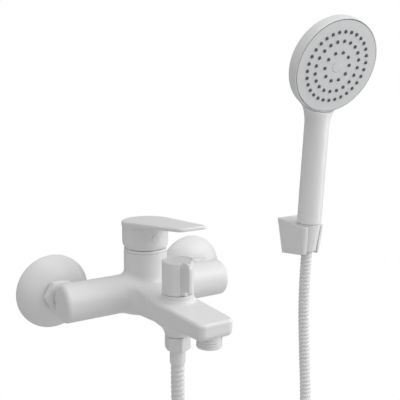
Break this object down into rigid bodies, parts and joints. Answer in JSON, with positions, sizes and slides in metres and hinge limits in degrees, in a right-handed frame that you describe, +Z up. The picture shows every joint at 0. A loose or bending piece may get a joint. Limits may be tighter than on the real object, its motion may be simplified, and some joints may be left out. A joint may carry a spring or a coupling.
{
  "type": "wall mounted bath and shower mixer set",
  "caption": "White single-lever wall bath and shower mixer with a diverter knob, a hose and a hand shower held in a wall bracket.",
  "frame": {"origin": "in the wall plane, midway between the two supply points, at the height of the mixer bar's axis", "axes": "+Z up, +X to the right of a person facing the wall, +Y into the wall; the wall is the plane Y = 0"},
  "size_m": [0.3668, 0.181, 0.5687],
  "materials": {
    "white_coat": "satin",
    "white_plastic": "satin",
    "face_plastic": "satin",
    "hose_sleeve": "satin",
    "nozzle_rubber": "matte",
    "brass": "machined",
    "ceramic": "lapped",
    "inner_plastic": "matte",
    "seal_rubber": "matte",
    "steel": "plain"
  },
  "bodies": {
    "mixer": {"aerator_insert": "inner_plastic", "aerator_ring": "white_coat", "aerator_washer": "seal_rubber", "bracket_fork": "white_coat", "bracket_wall_plate": "inner_plastic", "cartridge_base": "inner_plastic", "cartridge_housing": "inner_plastic", "cartridge_nut": "brass", "cartridge_seals": "seal_rubber", "ceramic_disc_fixed": "ceramic", "diverter_base_ring": "white_coat", "diverter_bonnet": "brass", "diverter_disc_fixed": "ceramic", "eccentric_union_left": "brass", "eccentric_union_right": "brass", "hose_coil": "hose_sleeve", "hose_ferrule_lower": "white_coat", "hose_lead_left": "hose_sleeve", "hose_lead_right": "hose_sleeve", "hose_nut": "white_coat", "hose_nut_washer": "seal_rubber", "hose_outlet_nipple": "brass", "hose_tie": "inner_plastic", "inlet_tail_left": "white_coat", "inlet_tail_right": "white_coat", "inlet_washer_left": "seal_rubber", "inlet_washer_right": "seal_rubber", "mixer_body": "white_coat", "trim_ring": "white_plastic", "union_nut_left": "white_coat", "union_nut_right": "white_coat", "wall_rosette_left": "white_coat", "wall_rosette_right": "white_coat"},
    "lever_turret": {"spindle_carrier": "inner_plastic", "spindle_pin": "steel"},
    "lever": {"lever_spindle": "brass", "handle_lever": "white_coat", "handle_set_screw": "steel", "handle_index_cap": "white_plastic"},
    "mixing_disc": {"ceramic_disc_moving": "ceramic", "disc_carrier": "inner_plastic"},
    "diverter": {"diverter_disc_moving": "ceramic", "diverter_spindle": "brass", "diverter_knob": "white_coat", "diverter_grub_screw": "steel"},
    "hose_end": {"hose_ferrule_upper": "white_coat"},
    "hand_shower": {"shower_shell": "white_plastic", "shower_inlet_insert": "brass", "spray_face": "face_plastic", "nozzle_mat": "nozzle_rubber", "water_plate": "inner_plastic", "face_seal": "seal_rubber", "face_screw": "steel", "face_centre_cap": "white_plastic", "cone_washer": "seal_rubber", "cone_nut": "white_coat"}
  },
  "joints": [
    {"name": "handle_swivel", "type": "hinge", "parent": "mixer", "child": "lever_turret", "pos_m": [0, -0.0445, 0.03], "axis": [0, 0, 1], "range_deg": [-50, 50]},
    {"name": "handle_lift", "type": "hinge", "parent": "lever_turret", "child": "lever", "pos_m": [0, -0.0445, 0.03], "axis": [-1, 0, 0], "range_deg": [0, 20]},
    {"name": "disc_slide", "type": "slide", "parent": "lever_turret", "child": "mixing_disc", "axis": [0, -1, 0], "range_m": [0, 0.0018]},
    {"name": "diverter_turn", "type": "hinge", "parent": "mixer", "child": "diverter", "pos_m": [0, -0.1035, 0.02], "axis": [0, 0, 1], "range_deg": [0, 90]},
    {"name": "shower_lift", "type": "slide", "parent": "mixer", "child": "hose_end", "axis": [0, -0.061, 0.9981], "range_m": [0, 0.06]},
    {"name": "shower_swivel", "type": "hinge", "parent": "hose_end", "child": "hand_shower", "pos_m": [0.2074, -0.0364, 0.0397], "axis": [0, -0.061, 0.9981], "range_deg": [-90, 90]}
  ],
  "couplings": [
    {"joint": "disc_slide", "follows": "handle_lift", "m_per_rad": 0.00485}
  ]
}
